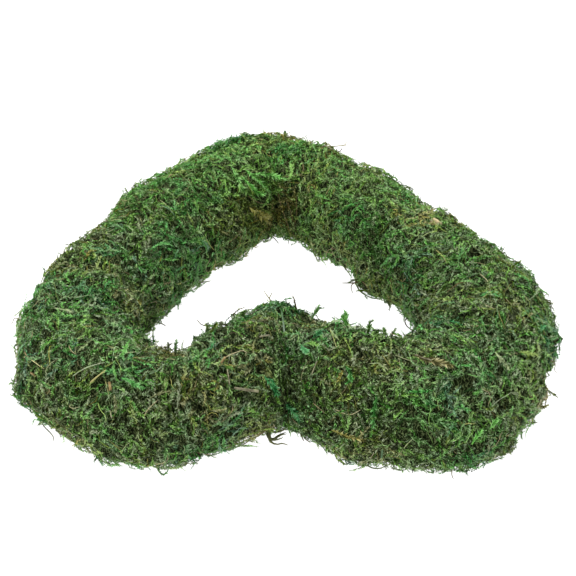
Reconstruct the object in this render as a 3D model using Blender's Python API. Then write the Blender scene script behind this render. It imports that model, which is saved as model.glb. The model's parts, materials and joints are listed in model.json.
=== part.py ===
"""Heart-shaped moss wreath, lying on its back with its point away from the viewer.

A heart of bound straw is the form inside. Clumps of sheet moss are packed round it end to end, each one a sleeve
with a rough top and short fronds, and a turn of thread holds them down at every seam. Metres, +Z up. The origin is
the middle of the wreath's footprint, on the surface that it lies on.
"""

import math
import random

import bmesh
import bpy
import numpy as np
from mathutils import Vector, noise

# Plan of the heart along the middle of the tube. Each half is a lobe arc that runs into a flatter side arc
LOBE_RADIUS = 0.0596
LOBE_X = 0.0580
LOBE_Y = -0.0572
SIDE_RADIUS = 0.400
TIP_Y = 0.1153

# Half of the tube's width in plan, and of its height
LOBE_HALF_WIDTH = 0.0315
TIP_HALF_WIDTH = 0.0325
CLEFT_HALF_WIDTH = 0.0275
HALF_HEIGHT = 0.0320
# How far the round section is pressed flat where it lies on the surface
PRESSED_FLAT = 0.0020
# The pinch at the cleft eases out to the full width over this length of the tube
CLEFT_EASE = 0.060

# A wreath packed by hand isn't even: the point leans to the left, and so does the hump opposite the cleft
TIP_LEAN = -0.0115
HUMP_LEAN = -0.0060
HUMP_LEAN_REACH = 0.045
# Places packed fuller or thinner than the plain heart: (x, y, reach, push), where push is outwards from the tube
SWELLS = (
    (-0.104, 0.078, 0.035, 0.0070),
    (-0.140, 0.030, 0.030, 0.0025),
    (-0.145, -0.090, 0.035, 0.0070),
    (-0.024, -0.138, 0.024, -0.0140),
    (0.020, -0.140, 0.020, -0.0050),
    (0.045, -0.155, 0.022, 0.0020),
    (0.095, -0.130, 0.040, 0.0080),
    (0.150, -0.070, 0.030, -0.0020),
    (0.150, -0.010, 0.030, 0.0030),
    (0.105, 0.045, 0.035, -0.0025),
    (0.065, 0.112, 0.035, 0.0035),
    (-0.008, 0.066, 0.015, 0.0030),
    (-0.066, -0.078, 0.026, -0.0050),
    (-0.040, -0.063, 0.022, 0.0065),
    (0.018, -0.043, 0.022, -0.0075),
    (0.065, -0.073, 0.020, 0.0070),
)

# Moss clumps
PADS_PER_SIDE = 6
SEGMENTS_PER_PAD = 8
AROUND = 24
MOSS_THICKNESS = 0.0105
SEAM_GAP = 0.0004
SEAM_DEPTH = 0.0030
RELIEF = 0.0045
RELIEF_SIZE = 0.022

# Every cell of a clump's skin, but for those under it, is drawn out into a leaf that lies over the next one. Some
# are drawn out further, into fronds with a waist. All lean the way that the moss is combed there
LEAF_HEIGHT = (0.0022, 0.0046)
LEAF_REACH = (0.0030, 0.0075)
FROND_HEIGHT = (0.0055, 0.0095)
FROND_REACH = (0.0080, 0.0130)
FROND_WAIST_SHARE = 0.36
FROND_WAIST_HEIGHT = 0.55
FROND_CHANCE = 0.6
LEAVES_FROM = 0.006
LOWEST_TIP = 0.0015
SEAM_MARGIN = 0.0035
COMB_SIZE = 0.110
COMB_TURNS = 1.2
# How far a corner of the skin may stray towards its neighbour, and a leaf off the combed way
STRAY_SHARE = 0.34
STRAY_ANGLE = 0.45

# Straw form, and the thread round each seam
FORM_SIDES = 12
FORM_CLEARANCE = 0.0004
THREAD_RADIUS = 0.0005
THREAD_CLEARANCE = 0.0003
THREAD_SIDES = 3

SEED = 12
DENSE = 400

MOSS_COLOURS = (
    ("moss_deep_green", (0.045, 0.110, 0.028)),
    ("moss_emerald", (0.040, 0.180, 0.055)),
    ("moss_olive", (0.120, 0.150, 0.040)),
)
STRAW_COLOUR = (0.42, 0.31, 0.14)
THREAD_COLOUR = (0.10, 0.16, 0.09)


def clear_scene():
    for obj in list(bpy.data.objects):
        bpy.data.objects.remove(obj)


def unit(v):
    return v / np.linalg.norm(v, axis=-1, keepdims=True)


def ease(t):
    t = np.clip(t, 0.0, 1.0)
    return t * t * (3 - 2 * t)


def lengths_along(points):
    steps = np.linalg.norm(np.diff(points, axis=0), axis=1)
    return np.concatenate([[0.0], np.cumsum(steps)])


def resample(points, count):
    """The same line with count points, evenly spaced along it."""
    along = lengths_along(points)
    wanted = np.linspace(0, along[-1], count)
    return np.stack([np.interp(wanted, along, points[:, k]) for k in range(2)], axis=1)


def arc(centre, radius, start, end, count):
    angles = np.linspace(start, end, count)
    return centre + radius * np.stack([np.cos(angles), np.sin(angles)], axis=1)


def angle_of(vector):
    return math.atan2(vector[1], vector[0])


def side_centre(lobe, tip):
    """Centre of the side arc: it passes through the tip and touches the lobe arc from outside."""
    to_tip = tip - lobe
    apart = np.linalg.norm(to_tip)
    near, far = SIDE_RADIUS - LOBE_RADIUS, SIDE_RADIUS
    along = (apart**2 + near**2 - far**2) / (2 * apart)
    across = math.sqrt(near**2 - along**2)
    direction = to_tip / apart
    return lobe + direction * along + np.array([-direction[1], direction[0]]) * across


def half_spine():
    """Middle line of the right half, from the cleft round the lobe to the tip: (points, outward normals, half widths)."""
    lobe, tip = np.array([LOBE_X, LOBE_Y]), np.array([0.0, TIP_Y])
    centre = side_centre(lobe, tip)
    cleft_angle = math.atan2(-math.sqrt(LOBE_RADIUS**2 - LOBE_X**2), -LOBE_X)
    joint_angle = angle_of(lobe - centre)
    round_lobe = arc(lobe, LOBE_RADIUS, cleft_angle, joint_angle, DENSE)
    up_side = arc(centre, SIDE_RADIUS, joint_angle, angle_of(tip - centre), DENSE)[1:]
    points = np.vstack([round_lobe, up_side])
    normals = np.vstack([unit(round_lobe - lobe), unit(up_side - centre)])
    along = lengths_along(points)
    widths = CLEFT_HALF_WIDTH + (LOBE_HALF_WIDTH - CLEFT_HALF_WIDTH) * ease(along / CLEFT_EASE)
    widths += (TIP_HALF_WIDTH - LOBE_HALF_WIDTH) * ease((along - CLEFT_EASE) / (along[-1] - CLEFT_EASE))
    return points, normals, widths


def right_of_middle(points):
    """The stretch of a line on the right of the wreath's middle line, ended exactly on it."""
    kept = np.flatnonzero(points[:, 0] > 0)
    first, last = kept[0], kept[-1]
    stretch = points[first : last + 1]
    for before, inside, put_first in ((first - 1, first, True), (last + 1, last, False)):
        if 0 <= before < len(points):
            a, b = points[before], points[inside]
            share = a[0] / (a[0] - b[0])
            crossing = a + (b - a) * share
            stretch = np.vstack([crossing, stretch] if put_first else [stretch, crossing])
    return stretch


def half_outlines():
    """Matched outer and inner edges of the right half of the tube, from the cleft to the tip."""
    points, normals, widths = half_spine()
    outer = points + normals * widths[:, None]
    inner = points - normals * widths[:, None]
    hump = arc(points[0], CLEFT_HALF_WIDTH, math.pi / 2, angle_of(-normals[0]), DENSE // 4)
    cap = arc(points[-1], TIP_HALF_WIDTH, angle_of(normals[-1]), math.pi / 2, DENSE // 4)

    # Between these two places a section is square to the tube. Beyond them sections fan out to the mitres
    square_from = int(np.argmin(np.abs(normals[:, 1] + 0.96) + (normals[:, 0] > 0)))
    beyond = np.flatnonzero(inner[:, 0] < 0.012)
    square_to = int(beyond[beyond > DENSE][0])

    outer_start = right_of_middle(outer[: square_from + 1])
    inner_start = np.vstack([hump, inner[1 : square_from + 1]])
    outer_end = np.vstack([outer[square_to:], cap[1:]])
    inner_end = right_of_middle(inner[square_to:])
    count = DENSE // 2
    outer_line = np.vstack(
        [resample(outer_start, count), outer[square_from + 1 : square_to], resample(outer_end, count)]
    )
    inner_line = np.vstack(
        [resample(inner_start, count), inner[square_from + 1 : square_to], resample(inner_end, count)]
    )

    # Stations are evenly spaced by the mean of the two edges' lengths
    along = (lengths_along(outer_line) + lengths_along(inner_line)) / 2
    wanted = np.linspace(0, along[-1], PADS_PER_SIDE * SEGMENTS_PER_PAD + 1)
    return [
        np.stack([np.interp(wanted, along, line[:, k]) for k in range(2)], axis=1)
        for line in (outer_line, inner_line)
    ]


def lean(points):
    """Shifts the point of the heart and the hump opposite the cleft sideways."""
    to_tip = np.clip((points[:, 1] - LOBE_Y) / (TIP_Y - LOBE_Y), 0, 1)
    near_hump = np.exp(-(points[:, 0] ** 2 + (points[:, 1] - LOBE_Y) ** 2) / HUMP_LEAN_REACH**2)
    shift = TIP_LEAN * to_tip + HUMP_LEAN * near_hump
    return points + np.stack([shift, np.zeros(len(points))], axis=1)


def swell(points, outwards):
    for x, y, reach, push in SWELLS:
        share = np.exp(-((points[:, 0] - x) ** 2 + (points[:, 1] - y) ** 2) / reach**2)
        points = points + outwards * (push * share)[:, None]
    return points


def ring_outlines():
    """Outer and inner edges of the whole ring, anticlockwise from the cleft. The last station is the first again."""
    right = half_outlines()
    whole = [lean(np.vstack([line, line[-2::-1] * [-1, 1]])) for line in right]
    outwards = unit(whole[0] - whole[1])
    return swell(whole[0], outwards), swell(whole[1], -outwards)


class Section:
    """One upright cross-section of the tube."""

    def __init__(self, outer, inner):
        self.middle = (outer + inner) / 2
        self.half_width = np.linalg.norm(outer - inner) / 2
        self.outwards = unit(outer - inner)
        # Square to the section, the way the stations run
        self.onwards = np.array([-self.outwards[1], self.outwards[0]])

    def normal(self, angle):
        across, up = math.cos(angle) / self.half_width, math.sin(angle) / HALF_HEIGHT
        size = math.hypot(across, up)
        return Vector((*(self.outwards * across / size), up / size))

    def point(self, angle, lift=0.0, floor=0.0, shift=0.0):
        """A point on the tube at that angle, lifted off it, kept above the floor and shifted along the tube."""
        across = self.half_width * math.cos(angle)
        up = HALF_HEIGHT - PRESSED_FLAT + HALF_HEIGHT * math.sin(angle)
        flat = self.middle + self.outwards * across + self.onwards * shift
        place = Vector((*flat, up)) + self.normal(angle) * lift
        place.z = max(place.z, floor)
        return place

    def distance(self, place):
        """How far a place lies beyond this section's plane."""
        return float(np.dot(np.array(place[:2]) - self.middle, self.onwards))


def combed_way(place):
    """Which way the moss is combed, as an angle from the way that leads round the tube."""
    return 2 * math.pi * COMB_TURNS * noise.noise(place / COMB_SIZE)


def mesh_object(name, bm, material, parent, smooth=False):
    bmesh.ops.recalc_face_normals(bm, faces=bm.faces)
    mesh = bpy.data.meshes.new(name)
    bm.to_mesh(mesh)
    bm.free()
    if smooth:
        mesh.shade_smooth()
    obj = bpy.data.objects.new(name, mesh)
    obj.data.materials.append(material)
    obj.parent = parent
    bpy.context.scene.collection.objects.link(obj)
    return obj


def plain_material(name, colour, roughness):
    material = bpy.data.materials.new(name)
    material.use_nodes = True
    shader = material.node_tree.nodes["Principled BSDF"]
    shader.inputs["Base Color"].default_value = (*colour, 1.0)
    shader.inputs["Roughness"].default_value = roughness
    shader.inputs["Metallic"].default_value = 0.0
    return material


def ring_angles(sides):
    return [2 * math.pi * k / sides for k in range(sides)]


def cells_between(rows, closed_along=False):
    """Corners of each cell between rows of vertices that run round the tube, in order round the cell."""
    count = len(rows)
    for j in range(count if closed_along else count - 1):
        near, far = rows[j], rows[(j + 1) % count]
        for i in range(len(near)):
            k = (i + 1) % len(near)
            yield i, j, (near[i], near[k], far[k], far[i])


def fill_flat(bm, cell):
    bm.faces.new((cell[0], cell[1], cell[2]))
    bm.faces.new((cell[0], cell[2], cell[3]))


def skin(bm, rows, closed_along=False):
    for _, _, cell in cells_between(rows, closed_along):
        fill_flat(bm, cell)


def form_point(section, angle, clearance=0.0, shift=0.0):
    """A point on the straw form, or on the moss's channel for it, a clearance away."""
    across = (section.half_width - MOSS_THICKNESS + clearance) * math.cos(angle)
    up = HALF_HEIGHT - PRESSED_FLAT + (HALF_HEIGHT - MOSS_THICKNESS + clearance) * math.sin(angle)
    flat = section.middle + section.outwards * across + section.onwards * shift
    return Vector((*flat, up))


def straw_form(sections, material, parent):
    """The heart of bound straw: a closed ring at every second station."""
    bm = bmesh.new()
    rows = [
        [bm.verts.new(form_point(section, angle)) for angle in ring_angles(FORM_SIDES)]
        for section in sections[:-1:2]
    ]
    skin(bm, rows, closed_along=True)
    return mesh_object("straw_form", bm, material, parent, smooth=True)


def kept_clear(place, ends):
    """The place itself, or the nearest one that is above the surface and inside the clump's two seams."""
    place.z = max(place.z, LOWEST_TIP)
    for end, side in ends:
        short = SEAM_MARGIN - side * end.distance(place)
        if short > 0:
            place += Vector((*(end.onwards * side * short), 0.0))
    return place


def fill_drawn_out(bm, cell, rise, reach, ends, waisted):
    """Draws a cell out to a tip, as a leaf, or as a frond if it has a waist."""
    centre = sum((v.co for v in cell), Vector()) / 4
    root = list(cell)
    if waisted:
        middle = centre + rise * FROND_WAIST_HEIGHT + reach * FROND_WAIST_HEIGHT**2
        waist = [
            bm.verts.new(kept_clear(middle + (v.co - centre) * FROND_WAIST_SHARE, ends)) for v in cell
        ]
        for i in range(4):
            k = (i + 1) % 4
            fill_flat(bm, (root[i], root[k], waist[k], waist[i]))
        root = waist
    tip = bm.verts.new(kept_clear(centre + rise + reach, ends))
    for i in range(4):
        bm.faces.new((root[i], root[(i + 1) % 4], tip))


def seam_row(bm, section, shift):
    """The end row of a clump's skin, pulled down by the thread, and lifted off the surface below."""
    return [
        bm.verts.new(section.point(angle, -SEAM_DEPTH, SEAM_DEPTH, shift))
        for angle in ring_angles(AROUND)
    ]


def moss_row(bm, section, neighbours, chance):
    """A row of a clump's skin between its ends, each corner strayed a little up or down it and along it."""
    row = []
    for angle in ring_angles(AROUND):
        place = section.point(angle)
        if place.z > 0.0:
            strayed = angle + chance.uniform(-0.5, 0.5) * STRAY_SHARE * 2 * math.pi / AROUND
            lift = RELIEF * noise.noise(place / RELIEF_SIZE)
            onto = chance.choice(neighbours).point(strayed, lift, LOWEST_TIP)
            place = section.point(strayed, lift, LOWEST_TIP).lerp(onto, chance.uniform(0, STRAY_SHARE))
        row.append(bm.verts.new(place))
    return row


def close_end(bm, outside, inside):
    """The flat ring between the skin and the channel at one end of a clump."""
    edges = [
        bm.edges.get((a, b)) for loop in (outside, inside) for a, b in zip(loop, loop[1:] + loop[:1])
    ]
    bmesh.ops.triangle_fill(bm, use_beauty=True, edges=edges)


def moss_pad(name, sections, material, parent, chance):
    """One clump of sheet moss: a sleeve round the form between two seams."""
    bm = bmesh.new()
    last = len(sections) - 1
    shifts = {0: SEAM_GAP / 2, last: -SEAM_GAP / 2}
    rows = [
        seam_row(bm, section, shifts[j])
        if j in shifts
        else moss_row(bm, section, (sections[j - 1], sections[j + 1]), chance)
        for j, section in enumerate(sections)
    ]
    ends = ((sections[0], 1), (sections[-1], -1))
    for i, j, cell in cells_between(rows):
        if min(v.co.z for v in cell) < LEAVES_FROM:
            fill_flat(bm, cell)
            continue
        section = sections[j]
        normal = section.normal(2 * math.pi * (i + 0.5) / AROUND)
        onwards = Vector((*section.onwards, 0.0))
        around = onwards.cross(normal)
        way = combed_way(cell[0].co) + chance.uniform(-STRAY_ANGLE, STRAY_ANGLE)
        towards = around * math.cos(way) + onwards * math.sin(way)
        waisted = (i // 2 + j) % 2 == 0 and 0 < j < last - 1 and chance.random() < FROND_CHANCE
        height = chance.uniform(*(FROND_HEIGHT if waisted else LEAF_HEIGHT))
        reach = chance.uniform(*(FROND_REACH if waisted else LEAF_REACH))
        fill_drawn_out(bm, cell, normal * height, towards * reach, ends, waisted)

    channel = [
        [
            bm.verts.new(form_point(sections[j], angle, FORM_CLEARANCE, shifts.get(j, 0.0)))
            for angle in ring_angles(FORM_SIDES)
        ]
        for j in range(0, last + 1, 2)
    ]
    skin(bm, channel)
    close_end(bm, rows[0], channel[0])
    close_end(bm, rows[-1], channel[-1])
    return mesh_object(name, bm, material, parent)


def binding_thread(name, section, material, parent):
    """One turn of thread, pulled down into the seam between two clumps."""
    bm = bmesh.new()
    onwards = Vector((*section.onwards, 0.0))
    lift = THREAD_CLEARANCE + THREAD_RADIUS
    lowest = SEAM_DEPTH - lift
    rows = []
    for angle in ring_angles(AROUND):
        centre = section.point(angle, lift - SEAM_DEPTH, lowest)
        normal = Vector((0, 0, -1)) if centre.z <= lowest else section.normal(angle)
        rows.append(
            [
                bm.verts.new(centre + THREAD_RADIUS * (normal * -math.cos(turn) + onwards * math.sin(turn)))
                for turn in ring_angles(THREAD_SIDES)
            ]
        )
    skin(bm, rows, closed_along=True)
    return mesh_object(name, bm, material, parent, smooth=True)


def stand_on_origin(parent, objects):
    """Moves the wreath so that the middle of its footprint is the origin."""
    corners = np.array([v.co for obj in objects for v in obj.data.vertices])
    middle = (corners.min(axis=0) + corners.max(axis=0)) / 2
    parent.location = (-middle[0], -middle[1], 0.0)


def build():
    clear_scene()
    chance = random.Random(SEED)
    outer, inner = ring_outlines()
    sections = [Section(o, i) for o, i in zip(outer, inner)]
    wreath = bpy.data.objects.new("wreath", None)
    bpy.context.scene.collection.objects.link(wreath)

    straw = plain_material("straw", STRAW_COLOUR, 0.85)
    thread = plain_material("thread", THREAD_COLOUR, 0.45)
    mosses = [plain_material(name, colour, 0.9) for name, colour in MOSS_COLOURS]

    made = [straw_form(sections, straw, wreath)]
    for k in range(2 * PADS_PER_SIDE):
        start = k * SEGMENTS_PER_PAD
        stretch = sections[start : start + SEGMENTS_PER_PAD + 1]
        moss = mosses[k % len(mosses)]
        made.append(moss_pad(f"moss_pad_{k + 1:02d}", stretch, moss, wreath, chance))
        made.append(binding_thread(f"binding_thread_{k + 1:02d}", stretch[0], thread, wreath))
    stand_on_origin(wreath, made)


build()
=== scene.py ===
"""Looks of the heart-shaped moss wreath: matted sheet moss, single stalks and twigs, light and camera."""

import json
import math

import bpy
import numpy as np
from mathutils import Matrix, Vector, noise
from mathutils.bvhtree import BVHTree

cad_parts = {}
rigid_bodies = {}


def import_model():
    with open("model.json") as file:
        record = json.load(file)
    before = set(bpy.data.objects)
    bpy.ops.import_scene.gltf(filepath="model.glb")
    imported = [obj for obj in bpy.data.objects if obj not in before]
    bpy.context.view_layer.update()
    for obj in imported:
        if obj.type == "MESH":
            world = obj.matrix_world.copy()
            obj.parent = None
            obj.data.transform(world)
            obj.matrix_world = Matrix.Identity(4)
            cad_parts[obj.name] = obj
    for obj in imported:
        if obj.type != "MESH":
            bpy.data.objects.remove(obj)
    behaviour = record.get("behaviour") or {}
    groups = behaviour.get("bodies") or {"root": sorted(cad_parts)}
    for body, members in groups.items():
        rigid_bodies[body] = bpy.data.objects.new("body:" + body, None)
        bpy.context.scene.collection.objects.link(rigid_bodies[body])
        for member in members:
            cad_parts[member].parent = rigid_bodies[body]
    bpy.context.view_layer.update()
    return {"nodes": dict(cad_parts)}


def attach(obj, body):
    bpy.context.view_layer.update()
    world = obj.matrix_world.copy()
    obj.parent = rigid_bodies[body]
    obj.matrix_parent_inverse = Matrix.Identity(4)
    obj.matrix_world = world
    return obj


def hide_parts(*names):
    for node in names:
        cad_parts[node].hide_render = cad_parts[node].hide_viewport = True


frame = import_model()

MM = 0.001
TINY = 1e-12
PADS = sorted(name for name in frame["nodes"] if name.startswith("moss_pad"))
THREADS = sorted(name for name in frame["nodes"] if name.startswith("binding_thread"))
STRAW = "straw_form"

# Camera, fitted to the outline in the photograph, in pixels of its 576 x 576 frame
CAMERA_AZIMUTH_DEG = -0.78
CAMERA_ELEVATION_DEG = 37.6
CAMERA_DISTANCE = 0.597
CAMERA_AIM = (0.0005, -0.0082, 0.030)
CAMERA_FOCAL_PX = 972.0
FRAME_PX = 576
SENSOR_MM = 36

# Guides. The crest is the straw form's highest line, and a seam's plane holds only near its turn of thread
CREST_DEPTH = 0.1 * MM
CREST_DIGITS = 6
THREAD_REACH = 60 * MM
OUT_OF_REACH = 1.0
SEARCH_PX = 30
SEARCH_TURNS = 6
LOWEST = 0.3 * MM

# Bed of moss under the fronds. The lumps are given as (height, size)
BED_VOXEL = 3.0 * MM
BED_SMOOTHING = 4
BED_SMOOTH_FACTOR = 0.5
BED_SINK = 0.6 * MM
BED_LUMPS = ((1.8 * MM, 14 * MM), (1.2 * MM, 6 * MM))
FOOT_HEIGHT = 3 * MM
FOOT_BLEND = 6 * MM
SEAM_LIFT = 2.6 * MM
SEAM_REACH = 9.0 * MM
CREASE_SHARE = 0.35
SEAM_END = 2.2 * MM
SEAM_OVERLAP = 1.2 * MM
OUTSIDE_FACING = 0.35
# The hollow in the inner corner under the point of the heart: (middle, reach, depth)
HOLLOW = ((0.000, 0.068, 0.040), 16 * MM, 4.0 * MM)

# A place in the photograph is given by the x and y of its pixel. Hue is a place on the ramp of moss colours,
# from teal at 0 to brown at 1. In these tables hues, lights and strengths are in hundredths, sizes in mm
HUNDREDTHS = 100

# Where the outline in the photograph bulges or draws in: (x, y, reach, height)
SWELLS = (
    (136, 190, 18, 2.4), (163, 172, 10, -1.6), (190, 161, 14, 3.2), (208, 150, 8, -5),
    (224, 144, 14, 3.2), (111, 207, 15, -4.8), (82, 233, 12, -2.6), (70, 243, 8, -1.6),
    (52, 265, 15, 2.6), (16, 338, 18, -4.4), (16, 366, 12, -1.2), (17, 398, 10, 3),
    (38, 418, 10, -3.8), (90, 455, 15, -1.6), (138, 469, 15, -2.8), (196, 464, 10, -0.8),
    (210, 458, 12, -4.8), (223, 453, 9, 2.8), (252, 442, 12, -4.2), (313, 445, 14, -5.2),
    (336, 458, 12, 0.6), (400, 468, 14, -4.2), (368, 466, 12, -1.6), (350, 463, 9, 1.6),
    (415, 472, 20, -2.6), (440, 474, 15, -0.4), (492, 461, 10, -3.4), (501, 455, 9, 3),
    (523, 432, 14, -3.4), (507, 448, 9, 1.2), (534, 417, 12, -4), (546, 396, 11, 4.8),
    (545, 377, 12, -5.4), (551, 356, 13, -9.5), (560, 343, 12, 10), (560, 332, 12, 1),
    (556, 322, 10, 0.8), (553, 306, 14, -0.4), (540, 284, 12, 0.8), (517, 262, 12, 2.8),
    (503, 251, 10, -5.5), (476, 230, 14, -3.4), (419, 196, 12, -4), (407, 188, 8, 2),
    (396, 180, 8, -2.8), (380, 170, 12, 1.4), (348, 159, 12, -2.2), (322, 148, 12, 2.2),
    (296, 138, 18, -6), (300, 245, 11, -7), (314, 255, 9, 2.6), (340, 262, 17, -8),
    (366, 291, 10, 3.2), (378, 298, 9, 2), (395, 311, 12, -5.4), (237, 259, 10, 5.6),
    (208, 280, 9, -3.2), (175, 305, 10, -4), (141, 335, 12, -5), (149, 327, 12, -9),
    (157, 343, 12, -4.6), (168, 348, 8, 0), (181, 347, 9, 3.4), (194, 342, 17, -8),
    (212, 334, 10, 4.4), (246, 310, 12, -4), (262, 302, 12, -8), (278, 303, 10, 8),
    (292, 305, 7, 2), (306, 314, 17, -8), (328, 321, 10, -0.6), (338, 328, 8, 2.4),
    (350, 336, 9, 2), (364, 338, 9, 0.4), (388, 340, 8, 3), (408, 340, 7, -3),
)

# Patches of like colour that the photograph shows: (x, y, reach, hue, change of light, strength). The change
# of light is partly the moss's own tone and partly painted light and shade
PATCHES = (
    (240, 168, 20, 38, 14, 70), (372, 184, 26, 50, 14, 70), (330, 175, 14, 50, 8, 50),
    (423, 221, 9, 88, 30, 100), (392, 215, 5, 93, 10, 90), (440, 250, 30, 42, 15, 50),
    (179, 177, 6, 86, 6, 60), (405, 456, 8, 56, 10, 70), (240, 212, 20, 80, -16, 80),
    (286, 206, 14, 78, -38, 100), (262, 217, 5, 80, 35, 100), (178, 246, 13, 20, 8, 80),
    (88, 298, 14, 10, 14, 80), (84, 313, 8, 66, 10, 80), (66, 320, 8, 6, 0, 70),
    (127, 346, 7, 34, 30, 100), (43, 358, 6, 8, 14, 90), (33, 374, 5, 90, 8, 80),
    (118, 372, 5, 8, 16, 90), (134, 383, 7, 26, 22, 90), (362, 216, 12, 10, -10, 70),
    (374, 248, 12, 30, -16, 80), (352, 240, 6, 24, 14, 80), (311, 343, 8, 20, 22, 90),
    (292, 385, 14, 62, -18, 80), (226, 360, 5, 80, 12, 60), (252, 362, 7, 80, 12, 90),
    (235, 400, 12, 52, -8, 40), (400, 400, 26, 72, 0, 40), (150, 405, 18, 70, 0, 40),
    (380, 340, 14, 66, 6, 70), (541, 323, 9, 9, 34, 100), (448, 324, 6, 4, 5, 80),
    (505, 285, 14, 65, 8, 60), (440, 300, 14, 56, 2, 60), (470, 365, 14, 20, -2, 50),
    (535, 375, 8, 37, 14, 70), (536, 360, 8, 64, 14, 80), (524, 290, 8, 9, 10, 80),
    (488, 368, 9, 10, 6, 80), (452, 392, 10, 10, 0, 50), (515, 312, 7, 90, 2, 70),
    (520, 400, 12, 66, 6, 60), (558, 340, 7, 10, 24, 90), (420, 425, 18, 34, -12, 60),
    (110, 425, 20, 50, -10, 60), (205, 328, 10, 40, 6, 50), (214, 148, 10, 10, 4, 70),
    (205, 250, 10, 12, 10, 70), (268, 312, 9, 26, 12, 60),
)

# Places where light and shade are painted into the moss, lighter or darker than the rest: (x, y, reach,
# change of light)
PAINTED_LIGHT_AND_SHADE = (
    (222, 160, 18, 20), (135, 196, 12, 16), (166, 168, 14, 36), (286, 140, 12, 16),
    (375, 172, 12, 10), (318, 160, 12, 8), (405, 203, 16, 10), (338, 250, 13, 40),
    (350, 280, 10, 34), (404, 312, 12, 76), (196, 276, 14, 56), (166, 316, 11, 66),
    (246, 255, 13, 80), (300, 235, 12, 10), (236, 428, 16, 30), (528, 392, 16, 18),
    (552, 362, 12, 20), (548, 394, 8, 20), (525, 262, 14, 28), (465, 255, 12, 8),
    (524, 434, 14, 48), (495, 440, 12, 12), (15, 318, 13, 36), (18, 350, 13, 14),
    (18, 376, 11, 24), (100, 450, 22, 12), (75, 436, 10, 12), (138, 462, 10, 10),
    (165, 462, 18, 12), (438, 430, 16, 6), (408, 336, 13, 32), (405, 372, 10, 12),
    (350, 322, 8, 20), (465, 390, 24, 6), (552, 318, 10, 14), (316, 320, 9, -10),
    (390, 440, 14, -12), (345, 462, 10, -8), (318, 385, 16, -8), (125, 345, 14, 10),
    (140, 405, 14, -2), (75, 405, 13, -20), (165, 345, 10, -14), (165, 422, 16, -8),
    (315, 405, 12, -14), (285, 432, 10, -22), (287, 348, 12, -12), (288, 375, 12, -8),
    (350, 375, 14, -8), (378, 405, 16, -18), (375, 225, 14, -12), (465, 315, 12, -16),
    (465, 225, 10, -10), (188, 375, 13, -10), (255, 405, 10, -10), (495, 375, 12, -6),
)

# Single stalks that the photograph shows. Each row ends with the x and y of the pixels that it passes
# Leafy fronds that lie on the moss: (hue, light, size of the leaves, pixels)
LAID_FRONDS = (
    (38, 84, 3.2, 252, 174, 262, 174, 271, 175, 280, 178, 288, 180),
    (52, 84, 2.4, 288, 180, 291, 177, 292, 170, 290, 163),
    (37, 82, 3, 241, 176, 248, 183, 255, 192, 261, 195, 267, 193),
    (52, 80, 2.2, 225, 180, 226, 190, 230, 195, 237, 196, 240, 190, 239, 183),
    (52, 72, 1.6, 270, 192, 276, 191, 283, 190),
    (78, 96, 3.2, 249, 207, 257, 214, 264, 219, 270, 217, 270, 213),
    (78, 94, 3, 256, 209, 262, 214, 269, 216, 273, 213),
    (39, 80, 3, 231, 166, 236, 176, 240, 186, 246, 192),
    (36, 78, 3, 246, 170, 255, 178, 264, 186, 271, 194),
    (76, 84, 2.2, 264, 219, 269, 224, 276, 225),
    (9, 68, 2.6, 264, 375, 268, 382, 273, 389, 279, 397, 287, 406, 297, 413),
    (9, 74, 2.6, 281, 399, 288, 407, 296, 414, 300, 422),
    (8, 62, 2.4, 269, 378, 274, 384, 276, 392, 282, 400),
    (9, 76, 2.4, 301, 345, 303, 349, 308, 353),
    (9, 76, 2.2, 313, 338, 317, 334, 322, 332),
    (50, 88, 1.8, 304, 344, 311, 343, 320, 346),
    (60, 84, 1.4, 54, 308, 61, 309, 68, 311, 76, 313),
    (24, 74, 2.2, 122, 378, 129, 381, 137, 386, 145, 389),
    (36, 84, 2.4, 129, 341, 126, 346, 124, 352, 121, 357),
    (58, 62, 1.6, 177, 409, 179, 397, 180, 387, 177, 378),
    (72, 54, 1.4, 150, 398, 158, 394, 168, 391, 178, 391),
    (72, 60, 1.4, 114, 394, 116, 405, 115, 415),
    (34, 86, 1.8, 418, 309, 423, 303, 430, 297),
    (40, 84, 1.8, 513, 406, 511, 411, 508, 417),
    (36, 84, 2, 490, 429, 494, 424, 499, 418),
    (60, 84, 1.8, 495, 352, 503, 362, 512, 372),
    (37, 78, 2, 472, 444, 477, 437, 483, 428),
    (24, 56, 2.4, 377, 396, 374, 408, 372, 420, 375, 430),
    (80, 66, 2.2, 332, 430, 340, 433, 348, 437, 357, 439, 366, 440),
    (67, 88, 2, 519, 352, 529, 353, 539, 356),
    (83, 38, 3, 413, 355, 423, 358, 432, 361, 441, 363, 450, 365, 456, 366),
    (8, 74, 2, 437, 322, 445, 321, 455, 322, 462, 326),
    (24, 50, 2.2, 345, 366, 350, 371, 351, 379, 346, 385),
    (46, 90, 1.8, 249, 360, 252, 357, 255, 354),
    (20, 80, 2.2, 480, 296, 488, 293, 496, 294, 503, 298),
    (9, 80, 2.2, 536, 314, 541, 322, 546, 331),
    (9, 80, 2.2, 547, 318, 542, 325, 538, 333),
    (9, 76, 2, 541, 334, 546, 340, 549, 346),
    (24, 84, 2, 150, 250, 158, 244, 167, 243, 174, 247),
)
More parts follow.
